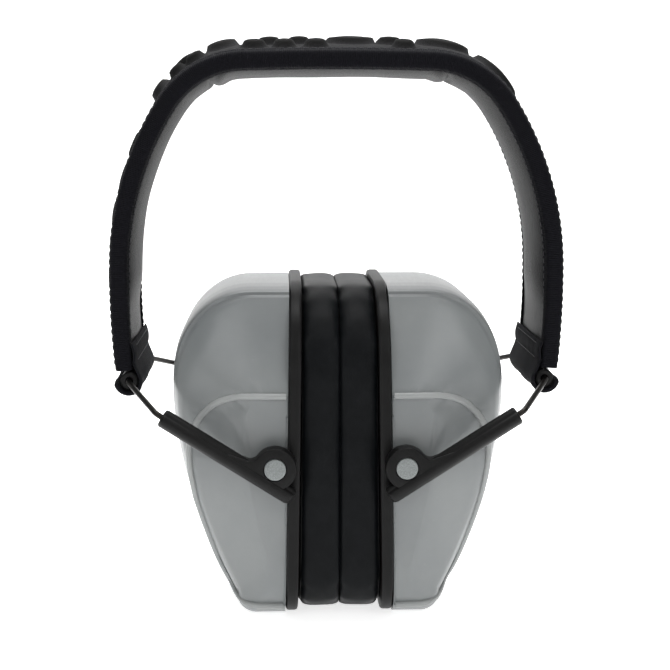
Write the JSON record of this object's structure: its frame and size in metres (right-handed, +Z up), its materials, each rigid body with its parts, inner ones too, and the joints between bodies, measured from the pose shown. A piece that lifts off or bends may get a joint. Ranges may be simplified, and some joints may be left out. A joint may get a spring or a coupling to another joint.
{
  "type": "ear defenders",
  "caption": "Folding hearing protection earmuffs: padded fabric headband, wire stirrups in sliding tubes, and two rounded grey ear cups with black leatherette cushions.",
  "frame": {"origin": "on the standing surface, under the middle of the object, half way between the two cups", "axes": "+X across the head towards the wearer's right cup as labelled here, +Z up through the crown of the band, +Y from the side with the front tubes towards the back"},
  "size_m": [0.1596, 0.1004, 0.1961],
  "materials": {
    "cover_fabric": "moulded textile over foam, matt",
    "lining": "smooth leatherette with a soft sheen",
    "binding_tape": "ribbed grosgrain tape",
    "spring_steel": "tempered strip",
    "wire_steel": "darkened spring wire",
    "black_plastic": "satin moulded",
    "grey_shell": "smooth moulded, semi-gloss",
    "grey_pin": "fine spark texture",
    "cushion_skin": "soft smooth leatherette",
    "foam": "open-cell foam"
  },
  "bodies": {
    "headband": {"headband_cover": "cover_fabric", "headband_lining": "lining", "headband_spring": "spring_steel", "front_binding": "binding_tape", "rear_binding": "binding_tape", "left_end_loop": "binding_tape", "right_end_loop": "binding_tape", "left_hinge_barrel": "black_plastic", "right_hinge_barrel": "black_plastic"},
    "left_stirrup": {"left_wire_stirrup": "wire_steel"},
    "left_slider": {"left_front_tube": "black_plastic", "left_rear_tube": "black_plastic"},
    "left_cup": {"left_front_pivot_pin": "grey_pin", "left_rear_pivot_pin": "grey_pin", "left_shell": "grey_shell", "left_foam_insert": "foam", "left_trim_ring": "black_plastic", "left_cushion_plate": "black_plastic", "left_cushion_skin": "cushion_skin", "left_cushion_foam": "foam", "left_vent_plug": "black_plastic"},
    "right_stirrup": {"right_wire_stirrup": "wire_steel"},
    "right_slider": {"right_front_tube": "black_plastic", "right_rear_tube": "black_plastic"},
    "right_cup": {"right_front_pivot_pin": "grey_pin", "right_rear_pivot_pin": "grey_pin", "right_shell": "grey_shell", "right_foam_insert": "foam", "right_trim_ring": "black_plastic", "right_cushion_plate": "black_plastic", "right_cushion_skin": "cushion_skin", "right_cushion_foam": "foam", "right_vent_plug": "black_plastic"}
  },
  "joints": [
    {"name": "left_swing", "type": "hinge", "parent": "headband", "child": "left_stirrup", "pos_m": [-0.07018, 0, 0.08081], "axis": [0, 1, 0], "range_deg": [-60, 12], "deforming": ["left_cushion_skin", "left_cushion_foam"]},
    {"name": "left_height", "type": "slide", "parent": "left_stirrup", "child": "left_slider", "axis": [0.8415, 0, -0.5402], "range_m": [0, 0.012]},
    {"name": "left_level", "type": "hinge", "parent": "left_slider", "child": "left_cup", "pos_m": [-0.0213, 0, 0.0561], "axis": [0, 1, 0], "range_deg": [-13, 61]},
    {"name": "right_swing", "type": "hinge", "parent": "headband", "child": "right_stirrup", "pos_m": [0.07018, 0, 0.08081], "axis": [0, -1, 0], "range_deg": [-60, 12], "deforming": ["right_cushion_skin", "right_cushion_foam"]},
    {"name": "right_height", "type": "slide", "parent": "right_stirrup", "child": "right_slider", "axis": [-0.8415, 0, -0.5402], "range_m": [0, 0.012]},
    {"name": "right_level", "type": "hinge", "parent": "right_slider", "child": "right_cup", "pos_m": [0.0213, 0, 0.0561], "axis": [0, -1, 0], "range_deg": [-13, 61]}
  ],
  "couplings": [
    {"joint": "left_level", "follows": "left_swing", "ratio": -1},
    {"joint": "right_level", "follows": "right_swing", "ratio": -1}
  ]
}
